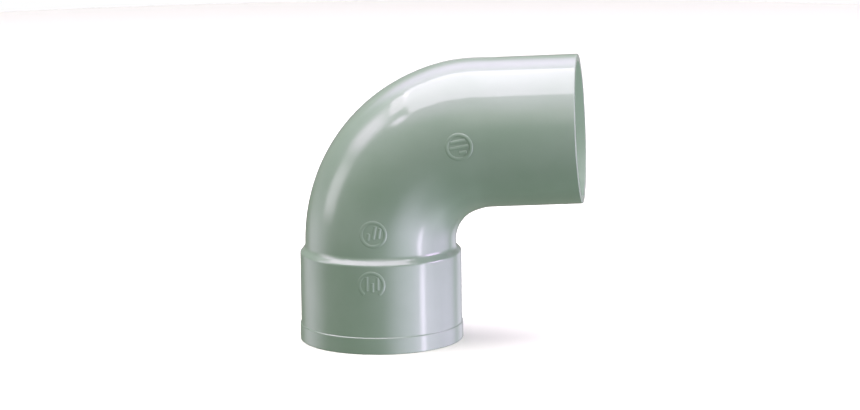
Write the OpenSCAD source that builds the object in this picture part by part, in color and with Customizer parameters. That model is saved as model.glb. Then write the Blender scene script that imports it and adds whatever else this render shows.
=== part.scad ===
// Socket and spigot elbow of 87.5 degrees in grey PVC-U, for solvent-welded pipe.
// One injection moulding, divided here into the zones that its own form has.
// Origin: centre of the socket mouth. +Z: from the mouth into the socket, along its axis.
// The spigot leaves towards +X, and the part is the same on both sides of the XZ plane,
// apart from the three mould marks on the -Y side.

/* [Pipe] */
// Outside diameter of the pipe, and so of the spigot
pipe_d = 63; // [62:0.1:64]
// Wall of the spigot, which also sets the bore of the waterway
spigot_wall = 3; // [2.5:0.1:3.5]

/* [Socket] */
// Depth from the mouth to the pipe stop
socket_depth = 36; // [34:0.5:40]
// Gap between the pipe and the socket bore, on the radius
socket_gap = 0.1; // [0.05:0.05:0.3]
// Wall of the socket
socket_wall = 2.7; // [2.4:0.1:3.2]
// Height of the raised band at the mouth
band_h = 7.5; // [6:0.5:9]
// How far the raised band stands proud of the socket
band_proud = 0.4; // [0.2:0.1:0.6]
// Size of the lead-in chamfer inside the mouth
lead_in = 0.6; // [0.3:0.1:0.6]

/* [Shoulder] */
// Straight part of the socket's outside above the pipe stop
shoulder_rise = 1.7; // [1.5:0.1:3]
// Height of the slope between the socket and the bend
shoulder_slope = 2.2; // [2:0.1:3.5]
// Straight neck between the slope and the start of the bend
neck_h = 2.5; // [2:0.1:3.5]
// Radius of the rounding at the crest of the shoulder
crest_r = 0.9; // [0.5:0.1:1.1]
// Height and thickness of the ring that makes the pipe stop
stop_ring = [3.5, 2.1]; // [2:0.1:4]

/* [Bend] */
// Angle that the flow is turned through
bend_angle = 87.5; // [86:0.5:90]
// Radius of the bend's centreline
bend_r = 46.4; // [45:0.1:50]
// Outside diameter of the bend
bend_d = 64.2; // [64:0.1:64.8]

/* [Spigot] */
// Straight length from the end of the bend to the tip
spigot_len = 40.9; // [38:0.1:46]
// Length over which the outside comes down from the bend to the pipe size
root_len = 5; // [4:0.5:8]
// Length of the end zone of the spigot
rim_len = 3; // [2:0.5:5]
// Broken edge round the outside of the tip
rim_edge = 0.4; // [0.2:0.1:0.5]

/* [Mould marks] */
// Outside radius of a round mark
mark_r = 6; // [5:0.1:6]
// Width of its raised ring
mark_line = 0.9; // [0.7:0.1:1.1]
// Height of the relief
mark_h = 0.4; // [0.2:0.05:0.5]
// Height of the mark on the socket
mark_socket_z = 29.6; // [22:0.1:30]
// Places of the two marks along the bend, in degrees from its start
mark_angles = [10.2, 78.3]; // [8:0.1:79]

/* [Parting line] */
// Height and width of the witness line
parting = [0.12, 0.5]; // [0.1:0.01:0.6]
// Radius and height of the trimmed injection point
gate = [2.4, 0.25]; // [0.1:0.05:3]

/* [Hidden] */
pipe_r = pipe_d/2;
water_r = pipe_r - spigot_wall;
bore_r = pipe_r + socket_gap;
socket_r = bore_r + socket_wall;
band_r = socket_r + band_proud;
tube_r = bend_d/2;
stop_top = socket_depth + stop_ring[0];
stop_r = water_r + stop_ring[1];
crest_z = socket_depth + shoulder_rise;
slope_top = crest_z + shoulder_slope;
bend_z = slope_top + neck_h;
gate_angle = 45;
overlap = 1;
pvc = [0.62, 0.67, 0.63];
pvc_mark = [0.66, 0.71, 0.67];
$fn = 128;

// Turn from the socket's side of the shoulder to its slope, and the points of its rounded crest
slope_turn = atan2(socket_r - tube_r, shoulder_slope);
crest_cut = crest_r*tan(slope_turn/2);
crest = [for (k = [0:4]) let (a = slope_turn*k/4)
    [socket_r - crest_r + crest_r*cos(a), crest_z - crest_cut + crest_r*sin(a)]];

// Outline of the outside from the mouth to the start of the bend
outline = concat(
    [[band_r, 0], [band_r, band_h - band_proud], [socket_r, band_h], [socket_r, socket_depth]],
    crest,
    [[tube_r, slope_top], [tube_r, bend_z]]);

// A tube along Z between two heights
module tube(r_in, r_out, z0, z1)
    rotate_extrude() translate([r_in, z0]) square([r_out - r_in, z1 - z0]);

// Children turned about the centre of the bend, from its start towards the spigot
module in_bend(from = 0, to = bend_angle)
    translate([bend_r, 0, bend_z]) rotate([90, 0, 180]) rotate([0, 0, from])
        rotate_extrude(angle = to - from) translate([bend_r, 0]) children();

// Children stood on the end of the bend, with Z along the spigot
module on_spigot()
    translate([bend_r*(1 - cos(bend_angle)), 0, bend_z + bend_r*sin(bend_angle)])
        rotate([0, bend_angle, 0]) children();

module mouth_band() color(pvc)
    rotate_extrude() polygon([
        [bore_r + lead_in, 0], [band_r, 0], [band_r, band_h - band_proud], [socket_r, band_h],
        [bore_r, band_h], [bore_r, lead_in]]);

module socket_sleeve() color(pvc)
    tube(bore_r, socket_r, band_h, socket_depth);

module pipe_stop() color(pvc)
    tube(water_r, stop_r, socket_depth, stop_top);

module shoulder() color(pvc)
    rotate_extrude() polygon(concat(
        [[stop_r, socket_depth], [socket_r, socket_depth]], crest,
        [[tube_r, slope_top], [tube_r, bend_z], [water_r, bend_z],
         [water_r, stop_top], [stop_r, stop_top]]));

module bend() color(pvc)
    in_bend() difference() {
        circle(r = tube_r);
        circle(r = water_r);
    }

module spigot_root() color(pvc)
    on_spigot() rotate_extrude() polygon([
        [water_r, 0], [tube_r, 0], [pipe_r, root_len], [water_r, root_len]]);

module spigot() color(pvc)
    on_spigot() tube(water_r, pipe_r, root_len, spigot_len - rim_len);

module spigot_rim() color(pvc)
    on_spigot() rotate_extrude() polygon([
        [water_r, spigot_len - rim_len], [pipe_r, spigot_len - rim_len],
        [pipe_r, spigot_len - rim_edge], [pipe_r - rim_edge, spigot_len], [water_r, spigot_len]]);

// A round mark seen from -Y: a ring with plain bars along the tube, each [offset, length, shift]
module emblem(bars, gap = 0) {
    difference() {
        circle(r = mark_r);
        circle(r = mark_r - mark_line);
        if (gap > 0) translate([-gap/2, -1.5*mark_r]) square([gap, mark_r]);
    }
    for (b = bars) translate([b[0] - mark_line/2, b[2] - b[1]/2]) square([mark_line, b[1]]);
}

// The mark pushed out towards -Y, far enough to pass through the wall's surface
module emblem_cut(bars, gap = 0)
    rotate([90, 0, 0]) linear_extrude(socket_r + 2*overlap) emblem(bars, gap);

// Place on the bend's centreline, turned so that the bars run along the tube
module along_bend(angle)
    translate([bend_r*(1 - cos(angle)), 0, bend_z + bend_r*sin(angle)])
        rotate([0, angle, 0]) children();

module mark_socket() color(pvc_mark)
    intersection() {
        tube(socket_r, socket_r + mark_h, mark_socket_z - mark_r - overlap, mark_socket_z + mark_r + overlap);
        translate([0, 0, mark_socket_z]) emblem_cut([[-2, 6, 0.5], [0.4, 4, -1], [2.6, 5.4, 0.6]], 7);
    }

// A mark on the bend, cut from a thin skin round the tube
module bend_mark(angle, bars) {
    reach = asin(1.6*mark_r/bend_r);
    intersection() {
        in_bend(max(angle - reach, 0.1), min(angle + reach, bend_angle - 0.1)) difference() {
            circle(r = tube_r + mark_h);
            circle(r = tube_r);
        }
        along_bend(angle) emblem_cut(bars);
    }
}

module mark_bend() color(pvc_mark)
    bend_mark(mark_angles[0], [[-1.9, 3, -1.4], [0.3, 5.6, 0.9], [2.4, 4.4, 1]]);

module mark_spigot() color(pvc_mark)
    bend_mark(mark_angles[1], [[-2.3, 6.4, 0], [0.2, 8, 0], [2.6, 3.2, 1.2]]);

// Witness line on one side of the tube: side -1 is the heel, side 1 is the throat
module parting_line(side) {
    ridge = [parting[0], 0];
    root = [[tube_r, 0], [pipe_r, root_len]];
    intersection() {
        rotate_extrude() polygon(concat(outline, [for (k = [len(outline) - 1:-1:0]) outline[k] + ridge]));
        translate([side*band_r, 0, bend_z/2]) cube([band_r, parting[1], 2*bend_z], center = true);
    }
    in_bend() intersection() {
        difference() {
            circle(r = tube_r + parting[0]);
            circle(r = tube_r);
        }
        translate([-side*tube_r, 0]) square([tube_r, parting[1]], center = true);
    }
    on_spigot() intersection() {
        rotate_extrude() polygon(concat(root, [root[1] + ridge, root[0] + ridge]));
        translate([side*tube_r, 0, root_len/2]) cube([tube_r, parting[1], 2*root_len], center = true);
    }
}

// A round peg through the heel of the bend, where the injection point was
module gate_peg(r)
    along_bend(gate_angle) rotate([0, -90, 0]) cylinder(r = r, h = tube_r + 2*overlap);

module parting_line_heel() color(pvc)
    difference() {
        parting_line(-1);
        gate_peg(gate[0]);
    }

module parting_line_throat() color(pvc)
    parting_line(1);

module gate_vestige() color(pvc)
    intersection() {
        in_bend(gate_angle - 6, gate_angle + 6) difference() {
            circle(r = tube_r + gate[1]);
            circle(r = tube_r);
        }
        gate_peg(gate[0]);
    }

mouth_band();
socket_sleeve();
pipe_stop();
shoulder();
bend();
spigot_root();
spigot();
spigot_rim();
mark_socket();
mark_bend();
mark_spigot();
parting_line_heel();
parting_line_throat();
gate_vestige();
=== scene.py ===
import math

import bmesh
import bpy
from mathutils import Matrix, Vector, noise


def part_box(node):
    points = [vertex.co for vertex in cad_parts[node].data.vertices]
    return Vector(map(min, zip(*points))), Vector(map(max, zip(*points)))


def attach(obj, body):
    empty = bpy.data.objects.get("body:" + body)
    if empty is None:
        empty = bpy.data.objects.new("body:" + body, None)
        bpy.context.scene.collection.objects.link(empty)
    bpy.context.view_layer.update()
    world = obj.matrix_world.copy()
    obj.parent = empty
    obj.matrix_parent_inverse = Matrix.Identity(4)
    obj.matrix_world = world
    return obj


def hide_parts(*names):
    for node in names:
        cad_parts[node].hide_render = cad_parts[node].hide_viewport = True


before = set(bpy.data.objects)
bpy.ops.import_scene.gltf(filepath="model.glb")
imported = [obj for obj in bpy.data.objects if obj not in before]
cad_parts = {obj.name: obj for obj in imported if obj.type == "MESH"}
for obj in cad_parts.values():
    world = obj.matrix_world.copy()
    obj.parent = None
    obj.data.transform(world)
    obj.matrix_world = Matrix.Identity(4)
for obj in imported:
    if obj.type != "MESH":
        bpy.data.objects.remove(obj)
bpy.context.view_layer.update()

# ---------------------------------------------------------------- camera
# A long lens from a little above and a little to the spigot's side, so that the mouth of the
# spigot just opens to view. It aims at a point inside the bend and is rolled very slightly.
view_aim = Vector((0.02125, 0.0, 0.0573))
view_azimuth = math.radians(6.25)
view_elevation = math.radians(10.87)
view_roll = math.radians(-0.67)
view_distance = 1.4705

view_back = Vector((
    math.sin(view_azimuth) * math.cos(view_elevation),
    -math.cos(view_azimuth) * math.cos(view_elevation),
    math.sin(view_elevation)))
level_right = Vector((math.cos(view_azimuth), math.sin(view_azimuth), 0))
level_up = view_back.cross(level_right)
view_right = level_right * math.cos(view_roll) + level_up * math.sin(view_roll)
view_up = view_back.cross(view_right)

camera_data = bpy.data.cameras.new("studio_camera")
camera_data.lens = 145.3
camera_data.sensor_width = 36
camera_data.clip_start = 0.1
camera_data.clip_end = 50
camera = bpy.data.objects.new("studio_camera", camera_data)
camera.matrix_world = Matrix.Translation(view_aim + view_back * view_distance) @ Matrix(
    (view_right, view_up, view_back)).transposed().to_4x4()
bpy.context.collection.objects.link(camera)
bpy.context.scene.camera = camera
bpy.context.scene.view_settings.view_transform = "Standard"

# ---------------------------------------------------------------- the socket's raised mouth band
# The whole fitting is one injection moulding in grey PVC-U. Its zones are made one by one, from the
# mouth of the socket to the tip of the spigot, each as an outline carried round the line that the
# tube follows. The mouth band is the slightly thicker rim that stiffens the socket's mouth.
mm = 0.001
band_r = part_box("mouth_band")[1].x
band_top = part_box("mouth_band")[1].z
socket_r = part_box("socket_sleeve")[1].x
pipe_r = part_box("spigot")[1].y
fit_gap = 0.1 * mm
bore_r = pipe_r + fit_gap
lead_in = 0.6 * mm
neck_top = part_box("shoulder")[1].z
bend_r = 46.4 * mm
bend_turn = math.radians(87.5)
bend_end = neck_top + bend_r * bend_turn
ring_points = 64
ring_swell = 3 / (2 + math.cos(2 * math.pi / ring_points))  # smoothing draws a ring in by as much
hold = 1.8  # how far from a corner its holding points are, in lengths of its rounding


def along_tube(s):
    """Centre of the tube, and the angle it has turned through, at a distance s from the mouth."""
    turn = min(max((s - neck_top) / bend_r, 0), bend_turn)
    ahead = Vector((math.sin(turn), 0, math.cos(turn)))
    if s <= neck_top:
        return Vector((0, 0, s)), turn
    centre = Vector((bend_r * (1 - math.cos(turn)), 0, neck_top + bend_r * math.sin(turn)))
    return centre + ahead * max(s - bend_end, 0), turn


def on_tube(s, r, angle):
    """A point at radius r round the tube: angle 0 is the heel of the bend, a quarter turn is -Y."""
    centre, turn = along_tube(s)
    heel = Vector((-math.cos(turn), 0, math.sin(turn)))
    return centre + heel * (r * math.cos(angle)) + Vector((0, -r * math.sin(angle), 0))


def rounded(before, corner, after, radius):
    """Points that take an outline round a corner on an arc, with a holding point on either side."""
    c = Vector(corner)
    a = (Vector(before) - c).normalized()
    b = (Vector(after) - c).normalized()
    half = a.angle(b) / 2
    reach = radius / math.tan(half)
    middle = c + (a + b).normalized() * (radius / math.sin(half) - radius)
    return [c + a * reach * hold, c + a * reach, middle, c + b * reach, c + b * reach * hold]


def pvc(name, tone, roughness, peel):
    """The one compound, a light grey with a green cast, with a satin body under a glossier skin
    from the polished mould. Tone makes it lighter, and peel deepens its orange peel."""
    material = bpy.data.materials.new(name)
    material.use_nodes = True
    tree = material.node_tree
    nodes, links = tree.nodes, tree.links
    nodes.clear()

    surface = nodes.new("NodeFrame")
    surface.label = "the moulded surface"
    out = nodes.new("ShaderNodeOutputMaterial")
    out.label = "surface of the moulding"
    out.parent = surface
    out.location = (520, 200)
    shader = nodes.new("ShaderNodeBsdfPrincipled")
    shader.label = "rigid PVC-U"
    shader.parent = surface
    shader.location = (200, 200)
    shader.inputs["IOR"].default_value = 1.54
    shader.inputs["Coat Weight"].default_value = 0.9
    shader.inputs["Coat Roughness"].default_value = 0.09
    shader.inputs["Coat IOR"].default_value = 1.54
    place = nodes.new("ShaderNodeTexCoord")
    place.label = "place on the fitting"
    place.location = (-1500, 100)
    links.new(shader.outputs["BSDF"], out.inputs["Surface"])

    pigment = nodes.new("NodeFrame")
    pigment.label = "pigment: clouding and flow lines"
    cloud = nodes.new("ShaderNodeTexNoise")
    cloud.label = "clouding of the pigment"
    cloud.parent = pigment
    cloud.location = (-900, 620)
    cloud.inputs["Scale"].default_value = 38
    cloud.inputs["Detail"].default_value = 3
    colour = nodes.new("ShaderNodeValToRGB")
    colour.label = "grey with a green cast"
    colour.parent = pigment
    colour.location = (-620, 620)
    low, high = colour.color_ramp.elements
    low.position, high.position = 0.3, 0.7
    low.color = (0.174 * tone, 0.266 * tone, 0.184 * tone, 1)
    high.color = (0.202 * tone, 0.290 * tone, 0.214 * tone, 1)
    stretch = nodes.new("ShaderNodeMapping")
    stretch.label = "drawn out round the bend"
    stretch.parent = pigment
    stretch.location = (-1120, 360)
    stretch.inputs["Scale"].default_value = (18, 160, 18)
    streak = nodes.new("ShaderNodeTexNoise")
    streak.label = "flow lines"
    streak.parent = pigment
    streak.location = (-900, 360)
    streak.inputs["Scale"].default_value = 1
    streak.inputs["Detail"].default_value = 4
    streak_tone = nodes.new("ShaderNodeMapRange")
    streak_tone.label = "how much the lines show"
    streak_tone.parent = pigment
    streak_tone.location = (-620, 360)
    streak_tone.inputs["From Min"].default_value = 0.3
    streak_tone.inputs["From Max"].default_value = 0.7
    streak_tone.inputs["To Min"].default_value = 0.97
    streak_tone.inputs["To Max"].default_value = 1.03
    toned = nodes.new("ShaderNodeVectorMath")
    toned.label = "colour with its flow lines"
    toned.parent = pigment
    toned.location = (-300, 520)
    toned.operation = "SCALE"
    links.new(place.outputs["Object"], cloud.inputs["Vector"])
    links.new(cloud.outputs["Fac"], colour.inputs["Fac"])
    links.new(place.outputs["Object"], stretch.inputs["Vector"])
    links.new(stretch.outputs["Vector"], streak.inputs["Vector"])
    links.new(streak.outputs["Fac"], streak_tone.inputs["Value"])
    links.new(colour.outputs["Color"], toned.inputs[0])
    links.new(streak_tone.outputs["Result"], toned.inputs["Scale"])
    links.new(toned.outputs["Vector"], shader.inputs["Base Color"])

    polish = nodes.new("NodeFrame")
    polish.label = "gloss: uneven polish"
    haze = nodes.new("ShaderNodeTexNoise")
    haze.label = "uneven gloss"
    haze.parent = polish
    haze.location = (-900, 60)
    haze.inputs["Scale"].default_value = 120
    haze.inputs["Detail"].default_value = 4
    gloss = nodes.new("ShaderNodeMapRange")
    gloss.label = "from polished to satin"
    gloss.parent = polish
    gloss.location = (-620, 60)
    gloss.inputs["To Min"].default_value = roughness - 0.06
    gloss.inputs["To Max"].default_value = roughness + 0.06
    links.new(place.outputs["Object"], haze.inputs["Vector"])
    links.new(haze.outputs["Fac"], gloss.inputs["Value"])
    links.new(gloss.outputs["Result"], shader.inputs["Roughness"])

    relief = nodes.new("NodeFrame")
    relief.label = "relief: orange peel and slow waves"
    peel_noise = nodes.new("ShaderNodeTexNoise")
    peel_noise.label = "orange peel of the polished mould"
    peel_noise.parent = relief
    peel_noise.location = (-900, -240)
    peel_noise.inputs["Scale"].default_value = 420
    peel_noise.inputs["Detail"].default_value = 2
    peel_bump = nodes.new("ShaderNodeBump")
    peel_bump.label = "orange peel"
    peel_bump.parent = relief
    peel_bump.location = (-620, -240)
    peel_bump.inputs["Strength"].default_value = peel
    peel_bump.inputs["Distance"].default_value = 0.00002
    wave_noise = nodes.new("ShaderNodeTexNoise")
    wave_noise.label = "slow waves from shrinkage"
    wave_noise.parent = relief
    wave_noise.location = (-900, -520)
    wave_noise.inputs["Scale"].default_value = 45
    wave_noise.inputs["Detail"].default_value = 1
    wave_bump = nodes.new("ShaderNodeBump")
    wave_bump.label = "slow waves"
    wave_bump.parent = relief
    wave_bump.location = (-300, -380)
    wave_bump.inputs["Strength"].default_value = 0.5
    wave_bump.inputs["Distance"].default_value = 0.0003
    links.new(place.outputs["Object"], peel_noise.inputs["Vector"])
    links.new(place.outputs["Object"], wave_noise.inputs["Vector"])
    links.new(peel_noise.outputs["Fac"], peel_bump.inputs["Height"])
    links.new(wave_noise.outputs["Fac"], wave_bump.inputs["Height"])
    links.new(peel_bump.outputs["Normal"], wave_bump.inputs["Normal"])
    links.new(wave_bump.outputs["Normal"], shader.inputs["Normal"])
    links.new(wave_bump.outputs["Normal"], shader.inputs["Coat Normal"])
    return material


body_finish = pvc("pvc_body", 0.98, 0.4, 0.6)


def moulded(name, mesh, smoothing, finish):
    """The piece that stands for the node of its name, its surface smoothed by so many levels."""
    bmesh.ops.recalc_face_normals(mesh, faces=mesh.faces)
    data = bpy.data.meshes.new(name)
    mesh.to_mesh(data)
    mesh.free()
    data.materials.append(finish)
    piece = bpy.data.objects.new(name + "_moulded", data)
    bpy.context.collection.objects.link(piece)
    skin = piece.modifiers.new("finish", "SUBSURF")
    skin.levels = skin.render_levels = smoothing
    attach(piece, "root")
    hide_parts(name)
    return piece


def moulding_zone(name, outline, joints):
    """A closed outline of (distance along the tube, radius) points carried round it. The rings in
    joints stay square and sharp, because the next zone carries on flush from them."""
    mesh = bmesh.new()
    crease = mesh.edges.layers.float.new("crease_edge")
    rings = []
    for s, r in outline:
        rings.append([mesh.verts.new(on_tube(s, r * ring_swell, 2 * math.pi * k / ring_points))
                      for k in range(ring_points)])
    for i, ring in enumerate(rings):
        other = rings[(i + 1) % len(rings)]
        for k in range(ring_points):
            j = (k + 1) % ring_points
            mesh.faces.new((ring[k], ring[j], other[j], other[k])).smooth = True
    for i in joints:
        for k in range(ring_points):
            edge = mesh.edges.get((rings[i][k], rings[i][(k + 1) % ring_points]))
            edge[crease] = 1
            edge.smooth = False
    piece = moulded(name, mesh, 2, body_finish)


def rings_at(outline, *distances):
    """Which points of an outline lie at these distances along the tube."""
    return [i for i, point in enumerate(outline) if point[0] in distances]


rim_out = (0, band_r)
rim_in = (0, bore_r + lead_in)
bore_edge = (lead_in, bore_r)
step_low = (band_top - 0.6 * mm, band_r)
step_high = (band_top - 0.3 * mm, socket_r)
rim_rounding = 0.35 * mm
step_rounding = 0.22 * mm
bore_rounding = 0.2 * mm
lead_in_rounding = 0.15 * mm
band_outline = (
    rounded((0, bore_r), rim_out, step_low, rim_rounding)
    + rounded(rim_out, step_low, step_high, step_rounding)
    + rounded(step_low, step_high, (2 * band_top, socket_r), step_rounding)[:-1]
    + [(band_top, socket_r), (band_top, bore_r)]
    + rounded((band_top, bore_r), bore_edge, rim_in, bore_rounding)
    + rounded(bore_edge, rim_in, rim_out, lead_in_rounding))
moulding_zone("mouth_band", band_outline, rings_at(band_outline, band_top))

# ---------------------------------------------------------------- the socket
# The plain cylindrical sleeve that the pipe is glued into. It runs flush from the mouth band up to
# the pipe stop, and its bore is a close, smooth fit for the pipe.
stop_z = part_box("pipe_stop")[0].z
straight = 1 * mm  # a holding ring so far from a joint keeps the wall straight up to it
sleeve_outline = [
    (band_top, bore_r), (band_top, socket_r), (band_top + straight, socket_r),
    (stop_z - straight, socket_r), (stop_z, socket_r), (stop_z, bore_r),
    (stop_z - straight, bore_r), (band_top + straight, bore_r)]
moulding_zone("socket_sleeve", sleeve_outline, rings_at(sleeve_outline, band_top, stop_z))

# ---------------------------------------------------------------- the pipe stop
# Inside, the socket ends on a square step, and the glued pipe butts against it. Its inner edge is
# rounded so that nothing catches in the flow, and its other three corners lie in the wall.
stop_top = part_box("pipe_stop")[1].z
stop_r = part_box("pipe_stop")[1].x
pipe_wall = 3 * mm
water_r = pipe_r - pipe_wall
stop_rounding = 0.4 * mm
stop_outline = rounded(
    (stop_top, water_r), (stop_z, water_r), (stop_z, stop_r), stop_rounding) + [
    (stop_z, stop_r), (stop_top, stop_r), (stop_top, water_r)]
moulding_zone("pipe_stop", stop_outline, (-3, -2, -1))

# ---------------------------------------------------------------- the shoulder
# Above the stop the wall slopes in from the socket's diameter to the bend's. The crest is rounded
# over, and the foot of the slope runs into the neck on a soft fillet, as the mould is polished.
tube_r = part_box("bend")[1].y
neck_joint = neck_top - 0.7 * mm
crest = (stop_z + 1.7 * mm, socket_r)
foot = (crest[0] + socket_r - tube_r, tube_r)
crest_rounding = 1.0 * mm
foot_rounding = 1.9 * mm
shoulder_outline = [
    (stop_z, stop_r), (stop_z, socket_r), (stop_z + 0.8 * straight, socket_r)] + rounded(
    (stop_z, socket_r), crest, foot, crest_rounding) + rounded(
    crest, foot, (neck_top, tube_r), foot_rounding) + [
    (neck_joint, tube_r), (neck_joint, water_r), (stop_top + 0.4 * straight, water_r),
    (stop_top, water_r), (stop_top, stop_r)]
moulding_zone(
    "shoulder", shoulder_outline, rings_at(shoulder_outline, stop_z, stop_top, neck_joint))

# ---------------------------------------------------------------- the bend
# The swept bend, one even round section the whole way, inside and out. Towards the spigot its
# outside eases down by a hair, so that the spigot comes out at the pipe's own size.
ease_start = bend_end - 11 * mm
ease_end = bend_end + 5 * mm
root_joint = bend_end + 0.8 * mm
bend_step = 2.4 * mm
near_joint = 0.25 * mm


def outside_r(s):
    """Outside radius of the tube from the neck to the spigot."""
    t = min(max((s - ease_start) / (ease_end - ease_start), 0), 1)
    return tube_r + (pipe_r - tube_r) * t * t * (3 - 2 * t)


def run(start, end, step):
    """Distances along the tube at about an even step, with one close to each end."""
    count = max(round((end - start) / step), 1)
    inner = [start + (end - start) * k / count for k in range(1, count)]
    return [start, start + near_joint] + inner + [end - near_joint, end]


def eased_tube(name, start, end, step):
    """A zone of the tube between two joints, with the even waterway inside it."""
    places = run(start, end, step)
    outline = [(s, outside_r(s)) for s in places] + [(s, water_r) for s in reversed(places)]
    moulding_zone(name, outline, rings_at(outline, start, end))


eased_tube("bend", neck_joint, root_joint, bend_step)

# ---------------------------------------------------------------- the spigot
# The plain male end, straight and parallel, the same outside size as the pipe. Its root finishes
# the ease down from the bend, and its tip is cut square with the edges just broken.
tip = bend_end + 40.9 * mm
root_step = 1.2 * mm
spigot_joint = ease_end + 1.5 * mm
rim_joint = tip - 3 * mm
eased_tube("spigot_root", root_joint, spigot_joint, root_step)

spigot_run = [spigot_joint, spigot_joint + straight, rim_joint - straight, rim_joint]
spigot_outline = [(s, pipe_r) for s in spigot_run] + [(s, water_r) for s in reversed(spigot_run)]
moulding_zone("spigot", spigot_outline, rings_at(spigot_outline, spigot_joint, rim_joint))

tip_out = (tip, pipe_r)
tip_in = (tip, water_r)
tip_out_rounding = 0.3 * mm
tip_in_rounding = 0.15 * mm
rim_outline = [(rim_joint, water_r), (rim_joint, pipe_r)] + rounded(
    (rim_joint, pipe_r), tip_out, tip_in, tip_out_rounding) + rounded(
    tip_out, tip_in, (rim_joint, water_r), tip_in_rounding)
moulding_zone("spigot_rim", rim_outline, rings_at(rim_outline, rim_joint))

# ---------------------------------------------------------------- the three mould marks
# Small round stamps cut into the mould stand proud of the wall on one side: a ring with plain
# strokes that run along the tube. One is on the socket and two are on the bend.
mark_r = (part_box("mark_bend")[1].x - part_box("mark_bend")[0].x) / 2
mark_line = 1.75 * mm
mark_h = 0.17 * mm
mark_sink = 0.15 * mm
mark_toe = 0.03 * mm
mark_finish = pvc("pvc_relief", 1, 0.42, 0.6)


def mark_place(name):
    """Centre of a mark in the plane of the bend, and the angle that the tube has turned there."""
    low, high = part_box(name)
    x = (low.x + high.x) / 2
    z = high.z - mark_r
    turn = math.atan2(z - neck_top, bend_r - x)
    return x, z, max(turn, 0)


def on_wall(x, z, h):
    """The point at height h on the -Y side of the wall, straight out from (x, z)."""
    if z < stop_z:
        r, off = socket_r, x
    else:
        r, off = tube_r, math.hypot(bend_r - x, z - neck_top) - bend_r
    return Vector((x, -math.sqrt((r + h) ** 2 - off ** 2), z))


def raised_stroke(mesh, path, closed, place):
    """A low rounded bead along a path of (across, along) points, its edges sunk into the wall."""
    x0, z0, turn = place
    section = ((-0.5, -mark_sink), (-0.44, mark_toe), (-0.16, mark_h), (0.16, mark_h),
               (0.44, mark_toe), (0.5, -mark_sink))
    rows = []
    for i, point in enumerate(path):
        p = Vector(point)
        before = Vector(path[i - 1]) if closed or i else p
        after = Vector(path[(i + 1) % len(path)]) if closed or i + 1 < len(path) else p
        ahead = (after - before).normalized()
        side = Vector((ahead.y, -ahead.x))
        row = []
        for across, h in section:
            u, v = p + side * across * mark_line
            x = x0 + u * math.cos(turn) + v * math.sin(turn)
            z = z0 - u * math.sin(turn) + v * math.cos(turn)
            row.append(mesh.verts.new(on_wall(x, z, h)))
        rows.append(row)
    for i in range(len(rows) if closed else len(rows) - 1):
        a, b = rows[i], rows[(i + 1) % len(rows)]
        for k in range(len(section)):
            j = (k + 1) % len(section)
            mesh.faces.new((a[k], a[j], b[j], b[k])).smooth = True
    if not closed:
        mesh.faces.new(rows[0]).smooth = True
        mesh.faces.new(rows[-1]).smooth = True


def mould_mark(name, strokes, opening=0):
    """One stamp: its ring, with an opening of so many degrees at the foot, and its strokes, each
    (across, along, length) in millimetres."""
    place = mark_place(name)
    mesh = bmesh.new()
    ring_r = mark_r - mark_line / 2
    count = 40
    if opening:
        sweep = [math.radians(opening / 2 + (360 - opening) * k / count) for k in range(count + 1)]
    else:
        sweep = [2 * math.pi * k / count for k in range(count)]
    ring = [(-ring_r * math.sin(a), -ring_r * math.cos(a)) for a in sweep]
    raised_stroke(mesh, ring, not opening, place)
    end_row = 0.15
    for across, along, length in strokes:
        half = length / 2 - end_row
        ends = [-half - end_row, -half, -half / 3, half / 3, half, half + end_row]
        raised_stroke(mesh, [(across * mm, (along + e) * mm) for e in ends], False, place)
    piece = moulded(name, mesh, 2, mark_finish)


mould_mark("mark_socket", [(-2, 0.5, 6), (0.4, -1, 4), (2.6, 0.6, 5.4)], 72)
mould_mark("mark_bend", [(-1.9, -1.4, 3), (0.3, 0.9, 5.6), (2.4, 1, 4.4)])
mould_mark("mark_spigot", [(-2.3, 0, 6.4), (0.2, 0, 8), (2.6, 1.2, 3.2)])

# ---------------------------------------------------------------- parting line and injection point
# The two mould halves met in the plane of the bend and left a fine witness line along the heel and
# the throat. The gate was on the heel: its stub was cut off and left a small rough disc.
line_h = 0.12 * mm
line_w = 0.5 * mm
line_step = 1.6 * mm
relief_sink = 0.1 * mm
gate_r = 2.4 * mm
gate_h = 0.1 * mm
gate_s = neck_top + bend_r * math.radians(45)
heel_scale = bend_r / (bend_r + tube_r)  # distance along the centreline for one along the heel


def witness_line(name, angle, stretches):
    """A fine ridge along the outside at one angle round the tube, over stretches of the outline."""
    mesh = bmesh.new()
    half = line_w / 2
    section = ((-half, -relief_sink), (-half * 0.55, line_h * 0.45), (0, line_h),
               (half * 0.55, line_h * 0.45), (half, -relief_sink))
    for stretch in stretches:
        rows = []
        for s, r in stretch:
            base = on_tube(s, r, angle)
            out = (base - along_tube(s)[0]).normalized()
            rows.append([mesh.verts.new(base + out * h + Vector((0, y, 0))) for y, h in section])
        for a, b in zip(rows, rows[1:]):
            for k in range(len(section)):
                j = (k + 1) % len(section)
                mesh.faces.new((a[k], a[j], b[j], b[k])).smooth = True
        mesh.faces.new(rows[0])
        mesh.faces.new(rows[-1])
    piece = moulded(name, mesh, 1, mark_finish)


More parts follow.
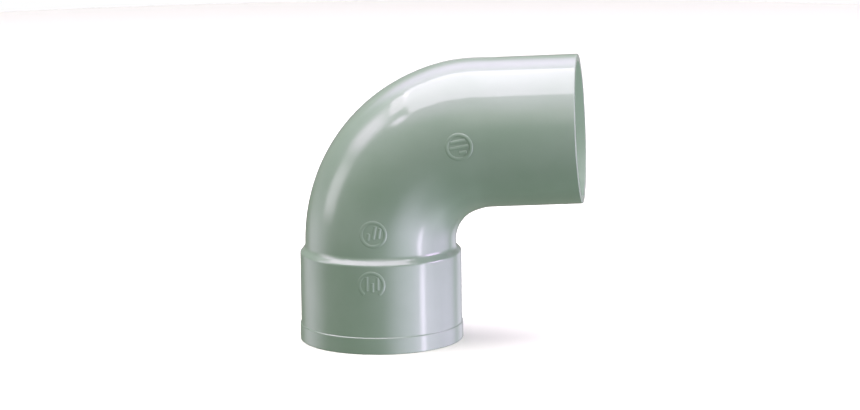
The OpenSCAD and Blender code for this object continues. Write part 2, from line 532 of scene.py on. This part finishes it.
lower_line = [
    (0.5 * mm, band_r), (band_top / 2, band_r), step_low, step_high, (band_top + 2 * mm, socket_r),
    (stop_z / 2, socket_r), (stop_z, socket_r), crest, foot, (neck_joint, tube_r)]
upper_line = [(s, outside_r(s)) for s in run(neck_joint, spigot_joint, line_step)][1:]
gate_reach = gate_r * heel_scale + 0.05 * mm
gate_low = gate_s - gate_reach
gate_high = gate_s + gate_reach
line_to_gate = [p for p in upper_line if p[0] < gate_low] + [(gate_low, tube_r)]
line_from_gate = [(gate_high, tube_r)] + [p for p in upper_line if p[0] > gate_high]
witness_line("parting_line_heel", 0, [lower_line + line_to_gate, line_from_gate])
witness_line("parting_line_throat", math.pi, [lower_line + upper_line])

gate_rings = 6
gate_points = 28
cut_depth = 0.04 * mm
cut_grain = 0.7 * mm
gate_mesh = bmesh.new()
middle = gate_mesh.verts.new(on_tube(gate_s, tube_r + gate_h * 0.8, 0))
last = None
for i in range(1, gate_rings + 2):
    out = min(i / gate_rings, 1)
    ring = []
    for k in range(gate_points):
        a = 2 * math.pi * k / gate_points
        across = gate_r * out * math.cos(a)
        along = gate_r * out * math.sin(a)
        rough = cut_depth * noise.noise(Vector((across, along, 0)) / cut_grain)
        h = -relief_sink if i > gate_rings else gate_h * (1 - 0.25 * out ** 6) + rough
        ring.append(gate_mesh.verts.new(
            on_tube(gate_s + along * heel_scale, tube_r + h, across / tube_r)))
    for k in range(gate_points):
        j = (k + 1) % gate_points
        if last is None:
            corners = (middle, ring[k], ring[j])
        else:
            corners = (last[k], ring[k], ring[j], last[j])
        gate_mesh.faces.new(corners).smooth = True
    last = ring
gate_mesh.faces.new(last)
gate_vestige = moulded("gate_vestige", gate_mesh, 1, mark_finish)

# ---------------------------------------------------------------- floor
# A plain pale round table top in matt paint. It takes the fitting's shadow, and a white studio lies
# beyond it. Its tint makes the shadow neutral under the lilac lamps.
table_r = 1.1
floor_mesh = bmesh.new()
bmesh.ops.create_circle(floor_mesh, cap_ends=True, segments=96, radius=table_r)
floor_data = bpy.data.meshes.new("floor")
floor_mesh.to_mesh(floor_data)
floor_mesh.free()
floor = bpy.data.objects.new("floor", floor_data)
bpy.context.collection.objects.link(floor)
floor.visible_glossy = False
floor.visible_diffuse = False
floor.visible_shadow = False

paper = bpy.data.materials.new("floor_white")
paper.use_nodes = True
paper_nodes = paper.node_tree.nodes
paper_nodes.clear()
paper_frame = paper_nodes.new("NodeFrame")
paper_frame.label = "the painted table top"
paper_shader = paper_nodes.new("ShaderNodeBsdfPrincipled")
paper_shader.label = "matt paint"
paper_shader.parent = paper_frame
paper_shader.location = (0, 0)
paper_shader.inputs["Base Color"].default_value = (0.76, 0.86, 0.71, 1)
paper_shader.inputs["Roughness"].default_value = 0.9
paper_out = paper_nodes.new("ShaderNodeOutputMaterial")
paper_out.label = "surface of the table"
paper_out.parent = paper_frame
paper_out.location = (320, 0)
paper.node_tree.links.new(paper_shader.outputs["BSDF"], paper_out.inputs["Surface"])
floor_data.materials.append(paper)

# ---------------------------------------------------------------- studio light
# A large soft box overhead gives the long highlight with its sharp lower edge. Soft-edged panels
# round it, on the left and low on the right give the slow gradients, and a narrow strip at the
# right gives the upright glint on the socket. A small lamp inside lightens the spigot's bore.
light_aim = Vector((0.025, 0, 0.06))


def soft_panel(name, azimuth, elevation, distance, width, height, glow, colour, soft=(0, 0)):
    """A panel that faces the fitting. Azimuth is in degrees from -Y towards +X, glow is in watts a
    square metre, and soft says how much of each half side its fading edge takes."""
    a = math.radians(azimuth)
    e = math.radians(elevation)
    away = Vector((math.sin(a) * math.cos(e), -math.cos(a) * math.cos(e), math.sin(e)))
    data = bpy.data.lights.new(name, "AREA")
    data.shape = "RECTANGLE"
    data.size = width
    data.size_y = height
    data.energy = glow * width * height
    data.color = colour
    data.use_nodes = True
    tree = data.node_tree
    nodes, links = tree.nodes, tree.links
    nodes.clear()
    place = nodes.new("ShaderNodeNewGeometry")
    place.label = "place on the panel"
    place.location = (-1000, 0)
    centred = nodes.new("ShaderNodeVectorMath")
    centred.label = "from its centre"
    centred.location = (-820, 0)
    centred.operation = "SUBTRACT"
    centred.inputs[1].default_value = (0.5, 0.5, 0)
    distance_out = nodes.new("ShaderNodeVectorMath")
    distance_out.label = "distance out"
    distance_out.location = (-640, 0)
    distance_out.operation = "ABSOLUTE"
    parts = nodes.new("ShaderNodeSeparateXYZ")
    parts.label = "across and up"
    parts.location = (-460, 0)
    both = nodes.new("ShaderNodeMath")
    both.label = "both edges"
    both.location = (-60, 0)
    both.operation = "MULTIPLY"
    links.new(place.outputs["Parametric"], centred.inputs[0])
    links.new(centred.outputs[0], distance_out.inputs[0])
    links.new(distance_out.outputs[0], parts.inputs[0])
    for axis, edge in enumerate(soft):
        fade = nodes.new("ShaderNodeMapRange")
        fade.label = "fading edge"
        fade.location = (-280, 150 - 300 * axis)
        fade.interpolation_type = "SMOOTHSTEP"
        fade.inputs["From Min"].default_value = 0.5
        fade.inputs["From Max"].default_value = 0.5 - max(edge, 0.002) / 2
        links.new(parts.outputs[axis], fade.inputs["Value"])
        links.new(fade.outputs["Result"], both.inputs[axis])
    emission = nodes.new("ShaderNodeEmission")
    emission.label = "light of the panel"
    emission.location = (120, 0)
    out = nodes.new("ShaderNodeOutputLight")
    out.label = "panel"
    out.location = (300, 0)
    links.new(both.outputs["Value"], emission.inputs["Strength"])
    links.new(emission.outputs["Emission"], out.inputs["Surface"])
    panel = bpy.data.objects.new(name, data)
    side = Vector((math.cos(a), math.sin(a), 0))
    panel.matrix_world = Matrix.Translation(light_aim + away * distance) @ Matrix(
        (side, away.cross(side), away)).transposed().to_4x4()
    panel.visible_camera = False
    bpy.context.collection.objects.link(panel)


# The long highlight, where it ends on the heel, and the paler glow on either side of it
soft_panel("overhead_box", 0, 90, 1.0, 1.5, 0.95, 17, (0.97, 0.81, 1))
soft_panel("overhead_end", -98, 50, 1.3, 0.55, 0.17, 15, (1, 0.8, 1))
soft_panel("overhead_back", 180, 50, 1.3, 2.6, 1.3, 8, (0.88, 0.6, 1), (0.5, 1))
soft_panel("overhead_front", -5, 55, 1.2, 2.2, 1.0, 5.5, (0.95, 0.69, 1), (0.6, 1))
# The heel: its side, its foot, the streak down it and the glint
soft_panel("left_panel", -84, 10, 1.0, 0.55, 0.55, 11, (0.98, 0.88, 1), (0.7, 0.7))
soft_panel("left_low", -107, -13, 1.2, 1.7, 1.1, 4.6, (0.92, 0.84, 1), (1, 1))
soft_panel("left_high", -88, 35, 1.3, 0.9, 0.7, 15, (0.97, 0.77, 1), (0.8, 0.8))
soft_panel("left_lamp", -60, 43, 1.4, 0.32, 0.26, 26, (0.96, 0.8, 1), (0.8, 0.8))
# The upright glint, the lit side of the socket and of the throat, and their far edge
soft_panel("right_strip", 67, -14, 1.2, 0.3, 1.1, 21, (0.92, 0.79, 1), (1, 0.6))
soft_panel("right_low_side", 95, -20, 1.3, 2.6, 1.4, 6.8, (0.83, 0.62, 1), (0.7, 1))
soft_panel("right_low_front", 50, -22, 1.4, 2.6, 1.4, 11.5, (0.85, 0.78, 1), (1, 1))
soft_panel("right_below", 85, -45, 1.3, 1.6, 1.0, 4.5, (0.88, 0.84, 1), (1, 1))
soft_panel("right_panel", 90, 10, 1.2, 1.0, 1.0, 31, (0.86, 0.59, 1), (0.8, 0.8))
soft_panel("right_back", 156, -8, 1.3, 0.9, 1.2, 2.8, (0.85, 0.72, 1), (0.8, 0.8))
# A weak fill from the front
soft_panel("front_high", 12, 35, 1.6, 2.0, 1.4, 5.5, (0.98, 0.85, 0.93), (1, 1))

bore_s = tip - 25 * mm
bore_centre = along_tube(bore_s)[0]
bore_back = (bore_centre - along_tube(tip)[0]).normalized()
bore_side = Vector((0, 1, 0))
bore_data = bpy.data.lights.new("bore_lamp", "AREA")
bore_data.shape = "DISK"
bore_data.size = 0.04
bore_data.energy = 0.0165
bore_data.color = (1, 0.89, 1)
bore_lamp = bpy.data.objects.new("bore_lamp", bore_data)
bore_lamp.matrix_world = Matrix.Translation(bore_centre) @ Matrix(
    (bore_side, bore_back.cross(bore_side), bore_back)).transposed().to_4x4()
bore_lamp.visible_camera = False
bore_lamp.visible_glossy = False
bpy.context.collection.objects.link(bore_lamp)

world = bpy.data.worlds.new("studio")
world.use_nodes = True
sky = world.node_tree.nodes
sky_links = world.node_tree.links
sky.clear()
ambient = sky.new("ShaderNodeBackground")
ambient.label = "grey of the room"
ambient.location = (-300, 100)
ambient.inputs["Color"].default_value = (0.27, 0.31, 0.24, 1)
white = sky.new("ShaderNodeBackground")
white.label = "white behind the table"
white.location = (-300, -60)
white.inputs["Color"].default_value = (1, 1, 1, 1)
ray = sky.new("ShaderNodeLightPath")
ray.label = "seen straight or by reflection"
ray.location = (-300, 460)
choice = sky.new("ShaderNodeMixShader")
choice.label = "white only where it is seen straight"
choice.location = (0, 100)
sky_out = sky.new("ShaderNodeOutputWorld")
sky_out.label = "studio"
sky_out.location = (220, 100)
sky_links.new(ray.outputs["Is Camera Ray"], choice.inputs["Fac"])
sky_links.new(ambient.outputs["Background"], choice.inputs[1])
sky_links.new(white.outputs["Background"], choice.inputs[2])
sky_links.new(choice.outputs["Shader"], sky_out.inputs["Surface"])
bpy.context.scene.world = world
